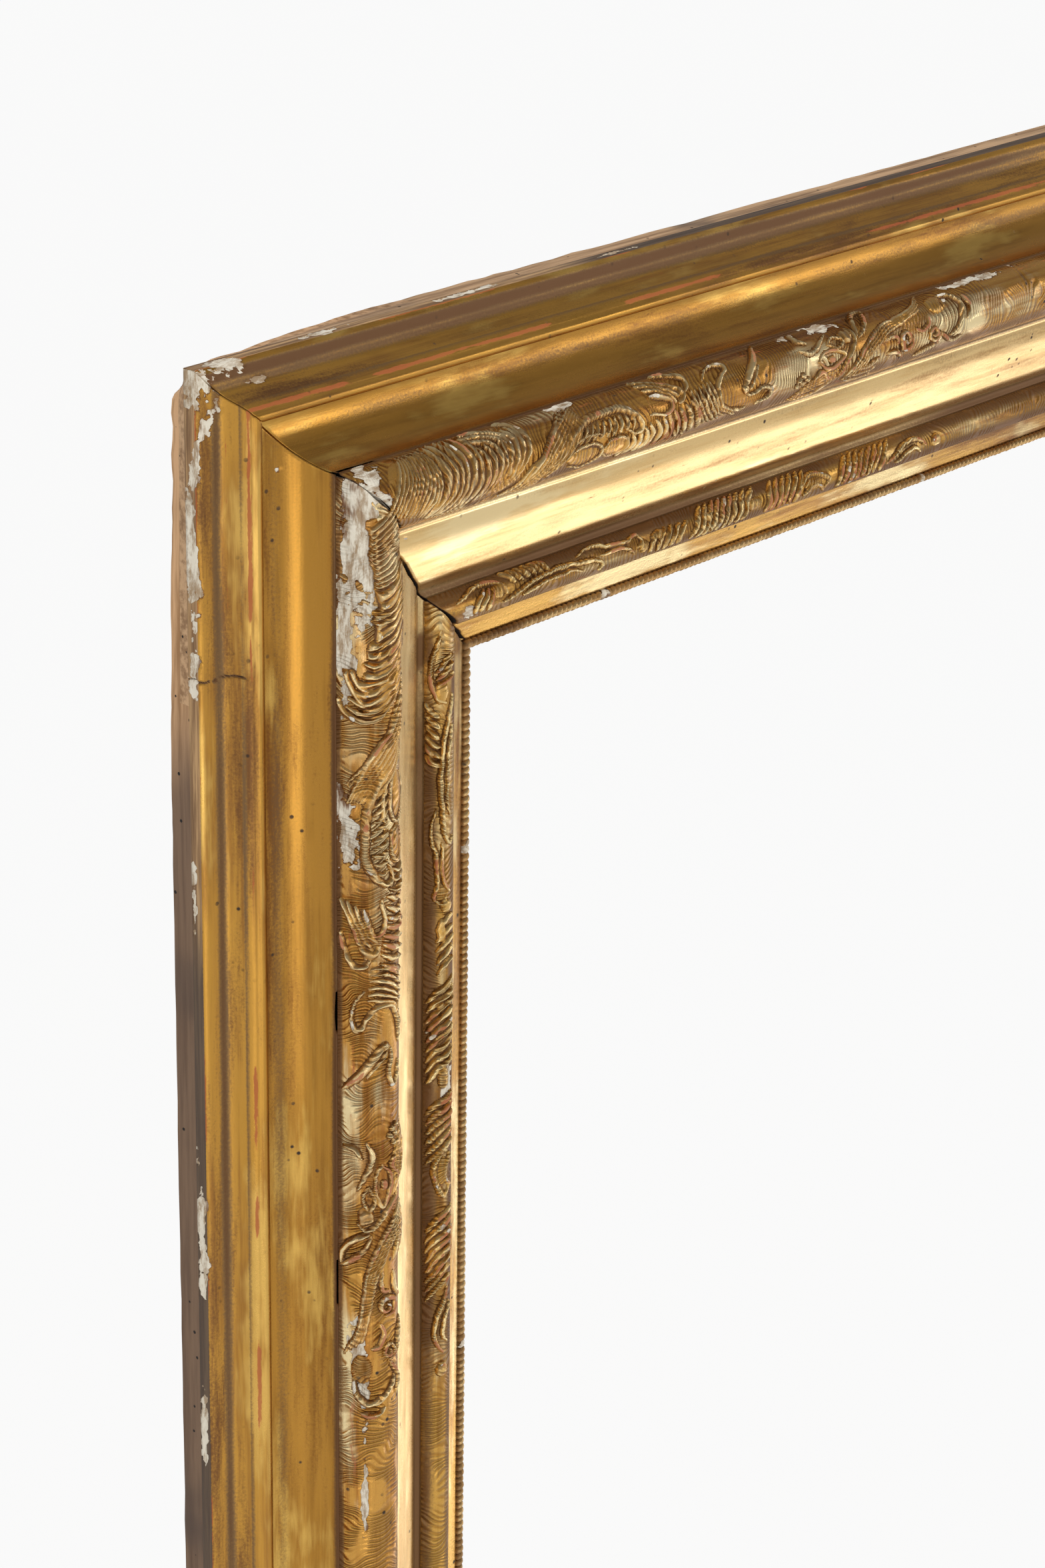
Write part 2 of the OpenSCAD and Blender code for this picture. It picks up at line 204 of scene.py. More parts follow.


# Water gilding: burnished gold leaf over red clay bole and white gesso. Thin worn leaf lets the
# bole show on the edges, chips show chalky gesso, old toning dulls it, and dust with painted shade darkens
# the hollows.
def gilding(name, look):
    material, tree, shader = newMaterial(name)

    def field(label, kind="Fac"):
        return addNode(tree, "ShaderNodeAttribute", attribute_name=label).outputs[kind]

    surface = field("surface", "Vector")
    bole, bare, grimeAndShade, raw, crest = (field(label) for label in ("bole", "bare", "grimeAndShade", "raw", "crest"))
    along, across, _ = addNode(tree, "ShaderNodeSeparateXYZ", {"Vector": surface}).outputs

    def grain(scale, stretch=(1, 1, 1), detail=3, rough=0.6):
        return noiseTexture(tree, stretched(tree, surface, stretch), scale, detail, rough)

    def plus(a, b, share=1.0):
        return addNode(tree, "ShaderNodeMath", {0: b, 1: share, 2: a}, operation="MULTIPLY_ADD").outputs[0]

    def times(a, b):
        return maths(tree, "MULTIPLY", a, b)

    def without(share):
        return maths(tree, "SUBTRACT", 1.0, share)

    def most(first, *others):
        for other in others:
            first = maths(tree, "MAXIMUM", first, other)
        return first

    def rise(value, low, high):
        return ramp(tree, value, low, high)

    def mix(share, a, b):
        return mixColour(tree, share, a, b)

    cloud = grain(26, (0.45, 1, 1), 4)               # toning in patches of about 40 mm
    stain = grain(55, (0.1, 1, 1), 5, 0.7)           # brown stains, long and about 20 mm wide
    streak = grain(300, (0.035, 1, 1), 3, 0.7)       # rubbed lines along the rail, 3 mm apart
    fleck = grain(850, (1, 1, 1), 3, 0.75)           # flecks of about 1 mm
    colour = mix(rise(plus(cloud, streak, 0.8), 0.78, 1.1), look["gold"], look["tone"])
    colour = mix(rise(plus(stain, fleck, 0.25), 0.635, 0.82), colour, look["stain"])
    colour = mix(rise(plus(cloud, stain, -0.8), 0.14, 0.3), colour, look["light"])
    # painted highlight: the crests of the relief and the tops of the rope beads are mixed towards the light
    # gold; the left side is also lightened some way down from its top corner
    colour = mix(times(crest, 0.9), colour, look["light"])

    # tooled veins, 2 mm apart, that wander between the leaves: grooves in the bump, darkened with dirt and
    # painted shade
    veins = 0.0
    if look["veins"]:
        wave = addNode(tree, "ShaderNodeTexWave", {
            "Vector": surface, "Scale": 136, "Distortion": 28, "Detail": 1, "Detail Scale": 0.42,
            "Detail Roughness": 0.4}).outputs["Fac"]
        limit = look["veins"] * mm
        there = times(rise(grain(60, (0.6, 1, 1), 1), 0.36, 0.5), rise(across, limit, limit - mm))
        veins = times(without(wave), there)
        colour = mix(times(rise(veins, 0.35, 0.95), 0.5), colour, aged["veinDirtAndShade"])

    # dust and painted shade: the grime field darkens hollows and creases towards the dust tone, and the
    # deepest parts towards dark brown
    dustAndShadeMask = rise(plus(plus(grimeAndShade, fleck, 0.5), stain, 0.4), 0.75, 1.25)
    colour = mix(dustAndShadeMask, colour, look["dustAndShadeTone"])
    colour = mix(times(rise(plus(grimeAndShade, fleck, 0.3), 0.55, 1.05), 0.85), colour, aged["deepDirtAndShade"])
    rubbed = plus(plus(bole, grain(480, (0.25, 1, 1), 4, 0.75), 1.1), streak, 0.5)
    clay = times(rise(rubbed, 1.28, 1.5), 0.75)
    colour = mix(clay, colour, aged["clay"])
    specks = times(rise(scattered(tree, surface, 150), 0.16, 0.08), rise(grain(45, (1, 1, 1), 2), 0.52, 0.66))
    colour = mix(specks, colour, aged["speck"])

    # chips down to the gesso, stained at the rim
    ragged = plus(plus(bare, fleck, 0.42), grain(2100, (1, 1, 1), 2, 0.7), 0.2)
    chip = rise(ragged, 0.78, 0.82)
    colour = mix(times(rise(ragged, 0.66, 0.76), rise(stain, 0.38, 0.5)), colour, look["stain"])
    chalk = mix(rise(grain(260, (0.3, 1, 1), 5, 0.75), 0.42, 0.62), aged["chalk"], aged["dustyChalk"])
    chalk = mix(rise(grain(90, (0.3, 1, 1), 4, 0.7), 0.58, 0.68), chalk, aged["brownChalk"])
    colour = mix(chip, colour, chalk)

    # bare wood at the foot of the outer band, with a painted shadow darkening it away from the corner
    bareWood = mix(rise(grain(420, (0.03, 1, 1), 4, 0.7), 0.35, 0.62), aged["paleWood"], aged["darkWood"])
    edgeShadow = times(rise(plus(along, stain, 0.1), 0.23, 0.29), 0.85)
    bareWood = mix(edgeShadow, bareWood, aged["shadowedWood"])
    wood = times(rise(plus(raw, fleck, 0.3), 0.6, 0.7), without(chip))
    colour = mix(wood, colour, bareWood)
    opened = rise(grimeAndShade, 1.15, 1.35)
    colour = mix(opened, colour, aged["crack"])

    veil = times(times(rise(plus(stain, fleck, 0.4), 0.45, 0.9), look["veil"]), without(crest))
    dull = most(chip, wood, clay, times(dustAndShadeMask, 0.5), specks, opened, veil)
    leaf = plus(look["roughness"] - 0.1, stain, 0.2)
    relief = plus(plus(plus(times(streak, 0.35), fleck, 0.4), chip, -0.9), veins, -1.6)
    setInputs(tree, shader, {
        "Base Color": colour, "Metallic": without(dull), "Roughness": plus(leaf, dull, 0.45),
        "Normal": bumped(tree, relief, look["bump"], 0.0005)})
    return material


# Old pine, sawn and left bare: straight grain along the rail, greyed and stained with age
def oldPine(name, lightHex, darkHex, alongX=True):
    material, tree, shader = newMaterial(name)
    where = addNode(tree, "ShaderNodeTexCoord").outputs["Object"]
    rings = noiseTexture(tree, stretched(tree, where, (0.05, 1, 1) if alongX else (1, 1, 0.05)), 260, 4, 0.65)
    stain = noiseTexture(tree, where, 14, 3)
    colour = mixColour(tree, ramp(tree, rings, 0.38, 0.66), lightHex, darkHex)
    colour = mixColour(tree, ramp(tree, stain, 0.5, 0.75), colour, "#5a4a3d")
    if not alongX:
        # a painted shadow darkens the outer edges below the top corners
        across, _, height = addNode(tree, "ShaderNodeSeparateXYZ", {"Vector": where}).outputs
        low = ramp(tree, maths(tree, "ADD", height, maths(tree, "MULTIPLY", stain, 0.12)), 0.02, -0.06)
        low = maths(tree, "MULTIPLY", low, ramp(tree, maths(tree, "ABSOLUTE", across), 0.47, 0.488))
        colour = mixColour(tree, maths(tree, "MULTIPLY", low, 0.8), colour, "#54433a")
    wormHole = maths(tree, "LESS_THAN", scattered(tree, where, 130), 0.09)
    setInputs(tree, shader, {
        "Base Color": mixColour(tree, wormHole, colour, "#1d1510"), "Roughness": 0.78,
        "Normal": bumped(tree, rings, 0.5, 0.0006)})
    return material


# Wrought iron, rusted brown and rubbed
def oldIron(name):
    material, tree, shader = newMaterial(name)
    rust = noiseTexture(tree, addNode(tree, "ShaderNodeTexCoord").outputs["Object"], 380, 4, 0.7)
    amount = ramp(tree, rust, 0.42, 0.62)
    setInputs(tree, shader, {
        "Base Color": mixColour(tree, amount, "#5b5650", "#5a3a26"),
        "Metallic": maths(tree, "SUBTRACT", 0.9, maths(tree, "MULTIPLY", amount, 0.7)),
        "Roughness": maths(tree, "ADD", 0.42, maths(tree, "MULTIPLY", amount, 0.35)),
        "Normal": bumped(tree, rust, 0.4, 0.0003)})
    return material


# Colours of the leaf, the last for dust and painted shade, then roughness, bump, veil of dust and how far
# across the veins reach, in mm
def toned(colours, roughness, bump, veil, veins=0.0):
    return {**dict(zip(("gold", "tone", "stain", "light", "dustAndShadeTone"), colours)),
            "roughness": roughness, "bump": bump, "veil": veil, "veins": veins}


dustyGold = ("#dcaa54", "#ac7836", "#784a20", "#f6dca2", "#967346")
finishes = {
    "band": gilding("water gilding, toned outer band",
                    toned(("#cd9843", "#a87638", "#7f5630", "#e2b560", "#8a6f4a"), 0.28, 0.3, 0.25)),
    "cove": gilding("water gilding, toned cove",
                    toned(("#c18c3c", "#a87732", "#845426", "#dfb25c", "#7d603e"), 0.22, 0.18, 0.15)),
    "torus": gilding("water gilding on pressed composition",
                     toned(("#d9a250", "#b67a38", "#824e20", "#fbe3ae", "#9c7648"), 0.23, 0.75, 0.16, 60)),
    "frieze": gilding("burnished water gilding",
                      toned(("#ecc98b", "#dcb270", "#b4864c", "#f4d9a2", "#b0905f"), 0.24, 0.15, 0.12)),
    "sight": gilding("water gilding, dusty sight moulding", toned(dustyGold, 0.25, 0.65, 0.18, 17)),
    "feathers": gilding("water gilding, dusty pressed feathers", toned(dustyGold, 0.24, 0.75, 0.18, 60)),
    "rope": gilding("water gilding, rubbed rope bead",
                    toned(("#c69c64", "#94704a", "#62462d", "#dcb880", "#75624f"), 0.34, 0.3, 0.35)),
    "pineX": oldPine("old bare pine, grain across", "#cca57c", "#94704c"),
    "pineZ": oldPine("old bare pine, grain upright", "#dcae80", "#a57a4e", False),
    "oak": oldPine("oak peg", "#8d6a44", "#5f4529"),
    "iron": oldIron("wrought iron, rusted"),
}
print("materials made")


# Mesh helpers
def linked(name, data):
    made = bpy.data.objects.new(name, data)
    bpy.context.scene.collection.objects.link(made)
    return made


# The gilding reads these from the points: its own place on the side, and each kind of wear
def writeFields(mesh, fields):
    for label, values in fields.items():
        kind, entry = ("FLOAT", "value") if values.ndim == 1 else ("FLOAT_VECTOR", "vector")
        layer = mesh.attributes.new(label, kind, "POINT")
        layer.data.foreach_set(entry, values.astype(np.float32).ravel())


def surfaceOf(side, s, v, patch=0.0):
    return np.stack([s * mm, v * mm, np.full_like(s, 7.0 * sides.index(side) + patch)], -1).reshape(-1, 3)


def makeObject(name, vertices, faces, material, fields):
    mesh = bpy.data.meshes.new(name)
    mesh.from_pydata([tuple(v) for v in vertices], [], faces)
    writeFields(mesh, fields)
    mesh.materials.append(material)
    mesh.shade_smooth()
    mesh.update()
    return linked(name, mesh)


# Two old cracks across the left side, at these distances in mm from the corner
crackStations = (115.4, 105)
meshStep = {"along": 1.2, "across": 1.0, "nearReach": 470, "farReach": 300}


# Stations along a side: close together near the corners and wide apart in the plain middle
def stations(side):
    length = sideLength(side)
    along, nearEnd, farStart = meshStep["along"], meshStep["nearReach"], length - meshStep["farReach"]
    cracks = [at + np.arange(-3, 3, 0.3) for at in crackStations]
    near = np.unique(np.round(np.concatenate([[0, 0.4], np.arange(0.9, nearEnd, along), *cracks]), 3))
    middle = np.arange(nearEnd, farStart, 5 * along)
    far = np.arange(farStart, length, 2.2 * along)
    return np.concatenate([near, middle, far, [length]]) / length


# Evenly spaced points along a polyline
def resample(points, step):
    points = np.asarray(points, float)
    run = np.concatenate([[0], np.cumsum(np.hypot(*np.diff(points, axis=0).T))])
    count = max(2, int(round(run[-1] / step)) + 1)
    at = np.linspace(0, run[-1], count)
    return np.stack([np.interp(at, run, points[:, 0]), np.interp(at, run, points[:, 1])], -1), at


def arc(centreU, centreH, radius, start, end, count):
    angles = np.radians(np.linspace(start, end, count))
    return [(centreU + radius * math.sin(a), centreH + radius * math.cos(a)) for a in angles]


def ogee(p, q, count):
    t = np.linspace(0, 1, count + 1)
    return list(zip(p[0] + (q[0] - p[0]) * t, p[1] + (q[1] - p[1]) * (1 - np.cos(math.pi * t)) / 2))


# A moulding swept along one side and mitred at both ends. The face curve carries the wear, and
# the back points close the section.
def sweep(kind, side, about):
    face, back = curveOf(kind)
    curve, across = resample(face, meshStep["across"])
    tangent = np.gradient(curve, axis=0)
    normal = np.stack([-tangent[:, 1], tangent[:, 0]], -1)
    normal /= np.linalg.norm(normal, axis=1, keepdims=True)
    t = stations(side)
    back = np.asarray(back, float)
    uAll, hAll = np.concatenate([curve, back]).T
    vAll = np.concatenate([across, across[-1] + 2 + np.arange(len(back))])
    crack = about.get("crack", 0.5)
    start = uAll + frameSize["mitreGap"] / 2 * math.sqrt(2)
    near, far = (start + crack * noise(uAll, hAll, 5, 7 * sides.index(side) + end) ** 2 for end in (1, 2))
    s = near + t[:, None] * (sideLength(side) - near - far)
    u, h, v = (np.repeat(line[None, :], len(t), 0) for line in (uAll, hAll, vAll))
    lift, fields = wearOf(kind, about, side, s, v)
    # the mitre joint: a dark groove along both edges, open in places
    gape = np.clip(smooth(0.3, 0.55, noise(uAll, hAll, 6, 31 + sides.index(side))) * crack / 1.6, 0.2, 1)
    for edge, share in ((0, 1.0), (1, 0.35), (-2, 0.35), (-1, 1.0)):
        lift[edge] -= 0.7 * share * gape
        fields["grimeAndShade"][edge] = np.maximum(fields["grimeAndShade"][edge], 1.5 * share * gape)
    # the wear fades out at both ends of the face, so that the moulding still meets its neighbours
    count = len(curve)
    weight = np.zeros(len(uAll))
    weight[:count] = np.minimum(1, np.minimum(np.arange(count), np.arange(count)[::-1]) / 1.5)
    normalU, normalH = np.concatenate([normal, 0 * back]).T
    u = np.maximum(u + lift * normalU * weight, 0)
    h = h + lift * normalH * weight
    m, n = len(uAll), len(t)
    faces = [(i * m + j, i * m + (j + 1) % m, (i + 1) * m + (j + 1) % m, (i + 1) * m + j)
             for i in range(n - 1) for j in range(m)]
    faces.append(tuple(range(m - 1, -1, -1)))
    faces.append(tuple((n - 1) * m + j for j in range(m)))
    if side in ("left", "bottom"):
        faces = [tuple(reversed(f)) for f in faces]
    fields = {"surface": surfaceOf(side, s, v, about["seed"] / 10),
              **{label: values.ravel() for label, values in fields.items()}}
    vertices = place(side, s, u, h).reshape(-1, 3)
    return makeObject(kind + "_" + side + "_gilt", vertices, faces, finishes[about["finish"]], fields)


# Chips on the photographed corner: side, s, v, half length and half width, in mm from the corner
# and across the face of that moulding. Every side also gets seeded chips of the same kind.
chips = {
    "outer_moulding": [("left", 8, 6, 18, 10), ("top", 11, 5, 15, 8), ("left", 62, 2, 36, 4.5),
        ("left", 112, 2, 26, 3), ("left", 340, 2, 34, 3), ("left", 420, 2, 26, 2.5),
        ("left", 205, 1, 18, 2), ("top", 30, 14, 6, 1.8), ("top", 70, 2, 20, 3), ("top", 150, 2, 26, 2.2),
        ("top", 240, 2, 20, 2), ("left", 33, 5, 9, 3)],
    "cove_moulding": [("left", 40, 8, 4, 2)],
    "torus_moulding": [("left", 66, 8, 42, 10), ("left", 100, 3, 34, 5), ("left", 176, 4, 22, 8),
        ("left", 400, 9, 28, 5), ("left", 450, 11, 26, 1.5), ("top", 50, 12, 7, 12), ("top", 163, 2, 9, 3),
        ("top", 324, 4, 12, 5), ("top", 300, 3, 8, 2.5), ("top", 430, 3, 30, 3), ("top", 404, 8, 6, 3)],
    "frieze_moulding": [("top", 96, 8, 1.5, 1), ("top", 85, 10, 1.4, 0.8)],
    "sight_moulding": [("left", 310, 12, 12, 4), ("top", 330, 12, 9, 4), ("top", 128, 12, 7, 4)],
}


# Lift of a moulding's face in mm, and the wear that its gilding shows
def wearOf(kind, about, side, s, v):
    seed = about["seed"] + sides.index(side)
    length = sideLength(side)
    wobble = noise(s * 0.6, v, 7, seed, 4) - 0.5 + 0.5 * (noise(s, v, 2, seed + 2, 2) - 0.5)
    spots = [c[1:] for c in chips[kind] if c[0] == side]
    rng = np.random.default_rng(seed * 7)
    for _ in range(about.get("chips", 6)):
        away = rng.uniform(5, 260)
        at = length - away if side in ("top", "left") else rng.choice([away, length - away])
        spots.append((at, rng.uniform(0, about["across"]), rng.uniform(3, 16), rng.uniform(0.8, 2.6)))
    bare = np.zeros_like(s)
    for chipS, chipV, halfLength, halfWidth in spots:
        near = 1 - np.hypot((s - chipS) / halfLength, (v - chipV) / halfWidth)
        bare = np.maximum(bare, np.clip(near * 1.4 + wobble * 2.4, 0, 1) * (near > -0.8))

    def bands(rows, patches):
        field = np.zeros_like(s)
        for at, width, most in rows:
            field = np.maximum(field, most * np.exp(-((v - at) / width) ** 2) * patches)
        return field

    bole = bands(about["bole"], smooth(0.38, 0.62, noise(s, v, 40, seed + 5)))
    grimeAndShadeRows = about["grimeAndShade"] + (about.get("topShade", []) if side == "top" else [])
    grimeAndShade = bands(grimeAndShadeRows, 0.62 + 0.38 * smooth(0.2, 0.7, noise(s * 0.2, v, 20, seed + 6)))
    split = np.zeros_like(s)
    if side == "left" and "crackAt" in about:
        path = about["crackAt"] + 2.6 * (noise(0 * s, v, 4, seed + 21) - 0.5)
        split = np.exp(-((s - path) / 0.4) ** 2) * smooth(25, 22, v)
    # painted shade: the moulding is darkened where the ornament stands over it; the old crack is darkened too
    shade = ornamentShade(kind, side, s, v)
    grimeAndShade = np.maximum(np.maximum(grimeAndShade, 1.5 * split), 0.95 * shade)
    # the gilding of the left side is made lighter some way down from its top corner, with its dust and shade
    # lifted there
    pale = 0.75 * about.get("pale", 0) * np.exp(-((s - 95) / 60) ** 2) * (side == "left")
    pale = pale * smooth(0.32, 0.62, noise(s * 0.5, v, 7, seed + 24))
    raw = smooth(*about["raw"], v) if "raw" in about else np.zeros_like(s)
    lift = (noise(s, v * 3, 30, seed + 9) - 0.5) * about.get("uneven", 0.25) - smooth(0.5, 0.6, bare) * 0.6
    grimeAndShade = grimeAndShade * (1 - pale)
    fields = {"bare": bare, "bole": bole, "grimeAndShade": grimeAndShade, "raw": raw, "crest": pale * (1 - shade)}
    return lift - 0.3 * shade - 0.6 * split, fields


# Mouldings: the face curve from the outer edge inwards, and the points that close it behind
def curveOf(kind):
    base = section["backThickness"]
    if kind == "outer_moulding":
        edge, top = section["bandEdge"], section["filletHeight"]
        inner = section["bandWidth"] - section["filletWidth"]
        face = [(0, base), (0, edge), (2, edge + 1.6)] + ogee((8, edge + 2.6), (inner, top - 1.2), 14)
        face += [(inner + 0.4, top), (section["bandWidth"], top)]
        return face, [(section["bandWidth"], base)]
    if kind == "cove_moulding":
        face = arc(coveU, torusH, section["coveRadius"], 180, 90, 40)
        return face, [(torusU, base), (coveU, base)]
    if kind == "torus_moulding":
        face = arc(torusMid, torusH, section["torusRadius"], -90, 90, 60)
        return face, [(ledgeU, base), (torusU, base)]
    if kind == "frieze_moulding":
        # a quirk under the ledge, a gentle start, a long even fall and a quick turn into the hollow
        hollow = section["hollow"]
        top = ledgeH - 2.4
        u = np.linspace(friezeU, ovoloU - 4, 70)
        slope = 0.12 + 0.25 * smooth(friezeU + 4, friezeU + 12, u)
        slope += 0.5 * smooth(ovoloU - 10.5, ovoloU - 5.5, u)
        fall = np.concatenate([[0], np.cumsum((slope[1:] + slope[:-1]) / 2) * (u[1] - u[0])])
        face = [(ledgeU, ledgeH), (friezeU - 0.4, ledgeH - 1), *zip(u, np.maximum(top - fall, hollow))]
        face += [(ovoloU - 2.5, hollow + 0.4), (ovoloU, hollow + 1.8)]
        return face, [(ovoloU, base), (ledgeU, base)]
    top, drop = section["stripHeight"], section["stripDrop"]
    outerEnd = -math.degrees(math.asin(section["ovoloOuter"]))
    face = arc(ovoloMid, ovoloH, section["ovoloRadius"], outerEnd, 32, 30)
    face += [(stripU, top), (ropeU, top - drop)]
    rebate = section["rebate"]
    seat = rebate + section["lipHook"]
    back = [(ropeU, lipH), (railWidth, lipH), (railWidth, rebate), (backWidth, rebate)]
    return face, back + [(backWidth, seat), (ovoloU, seat)]


# Each row of bole or grime is a place across the face and a half width, in mm, and a strength. The grime
# rows darken hollows and creases with dust and painted shade, and the extra rows for the top side only
# are painted shade alone. raw is where the bare wood at the foot ends, and crackAt is where an old crack
# crosses the left side.
mouldings = {
    "outer_moulding": {
        "finish": "band", "slot": "band_gilding", "seed": 11, "across": 24,
        "crackAt": crackStations[0], "raw": (5.6, 4.4),
        "bole": [(5.2, 0.7, 0.8), (17, 0.8, 0.5), (25.5, 1.1, 1.0)],
        "grimeAndShade": [(13.5, 3, 0.8), (22.5, 1.2, 0.7)], "topShade": [(9.5, 3, 1.1)]},
    "cove_moulding": {
        "finish": "cove", "slot": "cove_gilding", "seed": 23, "across": 30, "chips": 2,
        "bole": [(0.3, 0.9, 0.85)], "grimeAndShade": [(30.5, 3.2, 1.0), (0.5, 1.2, 0.5), (7, 5, 0.55)]},
    "torus_moulding": {
        "finish": "torus", "slot": "torus_gilding", "seed": 37, "across": 20, "chips": 9,
        "uneven": 0.45, "crack": 2.4, "pale": 1, "crackAt": crackStations[1],
        "bole": [(6, 3, 0.5), (17, 4, 0.45), (31, 4, 0.5)],
        "grimeAndShade": [(0.5, 2.5, 0.9), (42, 8, 0.95), (30, 6, 0.75)]},
    "frieze_moulding": {
        "finish": "frieze", "slot": "frieze_burnish", "seed": 41, "across": 30, "chips": 3,
        "uneven": 0.3, "crack": 1.6, "pale": 0.8,
        "bole": [(6.5, 0.8, 0.4), (19, 3, 0.4)], "grimeAndShade": [(2, 4, 0.95), (9, 3.5, 0.5), (42.5, 4.5, 1.0)]},
    "sight_moulding": {
        "finish": "sight", "slot": "sight_gilding", "seed": 53, "across": 22, "chips": 10,
        "crack": 2.2, "pale": 1, "bole": [(8, 2, 0.5), (14, 3, 0.45)],
        "grimeAndShade": [(2, 5, 0.95), (16.5, 2, 0.9), (9, 4, 0.5), (13.5, 4, 0.9), (22, 4, 0.45)]},
}


# Pressed ornament, drawn for one corner: s from the corner and v across the round, both in mm, v
# from the crown and negative on the outer side. A family is its count, width and height, and its
# first and last stroke. A stroke is its width, height and points. A dome is its place, half length,
# half width and height. A curl is its place, radius and width.
torusFamilies = [
    # fine strands at the corner, before the arch and by the shell
    (12, 0.9, 1.1, [(54, 3), (58, -4), (64, -12), (68, -19)], [(76, 9), (80, 2), (82, -8), (80, -18)]),
    (9, 0.9, 1.2, [(133, 2), (141, -3), (149, -9), (157, -17)],
     [(143, 9), (151, 3), (158, -3), (165, -11)]),
    (5, 0.9, 1.0, [(116, 11), (126, 7), (134, 1)], [(128, 12), (138, 9), (145, 4)]),
    (6, 0.9, 1.0, [(296, 11), (310, 9), (324, 7)], [(306, 4), (316, 1), (326, 1)]),
    # tall comb: ribs from the outer edge, then ribs with rolled heads, and fine lines between them
    (6, 2.0, 1.7, [(82, -20), (84, -13), (86, -6), (83, 2), (76, 9)],
     [(102, -20), (103, -13), (104, -6), (100, 3), (91, 10)]),
    (8, 1.9, 1.8, [(106, -12), (108, -8), (107, -2), (103, 4), (96, 9)],
     [(131, -18), (132.5, -11), (130, -4), (122, 3), (110, 8)]),
    (3, 1.2, 1.6, [(101, -15), (108, -14), (113, -12.5), (115, -9), (113, -6.5)],
     [(104, -20), (113, -18), (120, -15), (126, -10), (126, -7)]),
    # strands that lead to the arch
    (6, 1.2, 1.5, [(128, 8), (136, 1), (144, -6), (153, -11), (164, -17)],
     [(134, 9), (144, 4), (152, -1), (158, -6), (164, -11)]),
    # flutes under the arch
    (10, 0.9, 1.0, [(163, -8), (160, -4), (156, -1)], [(192, -7), (193, -4), (192, -1)]),
    # long comb beyond the arch
    (12, 1.25, 1.4, [(188, 1), (189, 5), (185, 10)], [(229, -4), (232, 2), (234, 9)]),
    # leaf over the comb
    (4, 1.4, 1.5, [(203, -20), (210, -16), (218, -13), (226, -10)],
     [(206, -11), (212, -9.5), (217, -7), (217, -4)]),
    # ribs of the S scroll
    (5, 1.0, 1.6, [(230.5, -8), (231, -3), (233, 2), (237, 7)],
     [(241, -9), (241.5, -3), (244, 2), (250, 6.5)]),
    # long strands after the rosette
    (4, 1.1, 1.5, [(330, 8), (338, 1), (346, -5), (356, -9), (368, -11), (380, -13), (392, -19)],
     [(338, 8), (346, 1), (353, -3), (360, -6), (368, -8), (378, -9.5), (386, -12)]),
    (3, 1.5, 1.2, [(333, 9.5), (342, 9), (350, 10)], [(338, 5), (346, 5), (353, 3)]),
]
torusStrokes = [
    (1.3, 1.5, [(124, -21), (129, -19), (132, -14), (133, -8)]),
    (1.9, 1.7, [(142, 6), (150, 0), (158, -6), (168, -9.5), (178, -10.5), (188, -9.5), (194, -6.5),
     (197, -3), (196, 0), (193, 0.5), (190, -1)]),
    (0.8, 1.1, [(153, 3), (158, 0.5), (168, 0), (173, 3), (172, 6.5), (164, 8), (155, 7)]),
    (0.8, 1.1, [(175, 4), (178, 0.5), (184, 0.5), (188, 3), (186, 7), (179, 8), (175, 6)]),
    (0.9, 1.1, [(150, 2), (158, -2), (166, -3.5), (176, -2.5)]),
    (1.0, 1.3, [(208, -10), (213, -9.5), (217, -7.5), (216.5, -4), (212, -2.5), (207, -3.5), (203, -3.5)]),
    (1.3, 1.5, [(216, -20), (223, -18), (229, -14.5), (229, -10), (225, -8)]),
    (1.5, 1.6, [(219, -12), (223, -11), (225, -7.5), (222, -5)]),
    (1.1, 1.5, [(239, -11), (243, -14), (249, -15.5), (254, -14.5), (254.5, -12), (251, -10), (248, -8),
     (246, -4.5), (247, 0), (251, 3.5), (258, 5.5), (264, 6)]),
    (1.0, 1.3, [(243, -9), (244, -4), (246, 1), (251, 5), (258, 7.5)]),
    (1.8, 1.7, [(261, -2), (266, -7), (272, -11), (280, -19)]),
    (0.9, 1.3, [(264, -1), (269, -6), (275, -10)]),
    (0.9, 1.4, [(261, -1), (266, 0.3), (272, -0.8), (277, -0.5), (279.5, 1.5), (277, 4), (271, 5)]),
    (1.6, 1.5, [(300, 12), (308, 10), (316, 7), (322, 6)]),
    (1.2, 1.5, [(303, -19), (304, -14), (308, -11.5)]),
    (1.3, 1.6, [(302, -9.5), (306, -8), (312, -8), (317, -11), (321, -13)]),
    (1.0, 1.4, [(312, -3), (316, -6), (324, -6), (329, -3), (324, 0), (316, 0), (312, -3)]),
    (1.0, 1.4, [(320, -9), (325, -11), (330, -9), (326, -6.5), (320, -9)]),
    (1.2, 1.5, [(335, -13), (338, -9), (334, -4), (331, -1), (325, 6)]),
    (1.4, 1.6, [(340, -9), (342, -15), (347, -19), (352, -20)]),
    (1.3, 1.5, [(341, -8), (347, -11), (351, -16), (353, -20)]),
    (1.2, 1.4, [(308, 3), (313, 1), (318, 4), (322, 2)]),
    (1.2, 1.5, [(380, -4), (384, -3), (388, -5), (389, -8)]),
    (1.1, 1.3, [(355, -3), (361, -4), (365, -3), (366, 0)]),
    (1.3, 1.3, [(380, 8), (388, 6), (396, 5)]),
    (1.1, 1.2, [(358, 2), (366, 3), (371, 6)]),
    (1.2, 1.4, [(402, -15), (409, -13.5), (413, -9), (411, -4)]),
    (1.1, 1.3, [(412, -11), (413, -6), (410, -1), (404, 3)]),
    (1.3, 1.5, [(417, -12), (418.5, -7), (416, -2)]),
    (1.2, 1.3, [(398, 1), (404, 5), (412, 5)]),
]
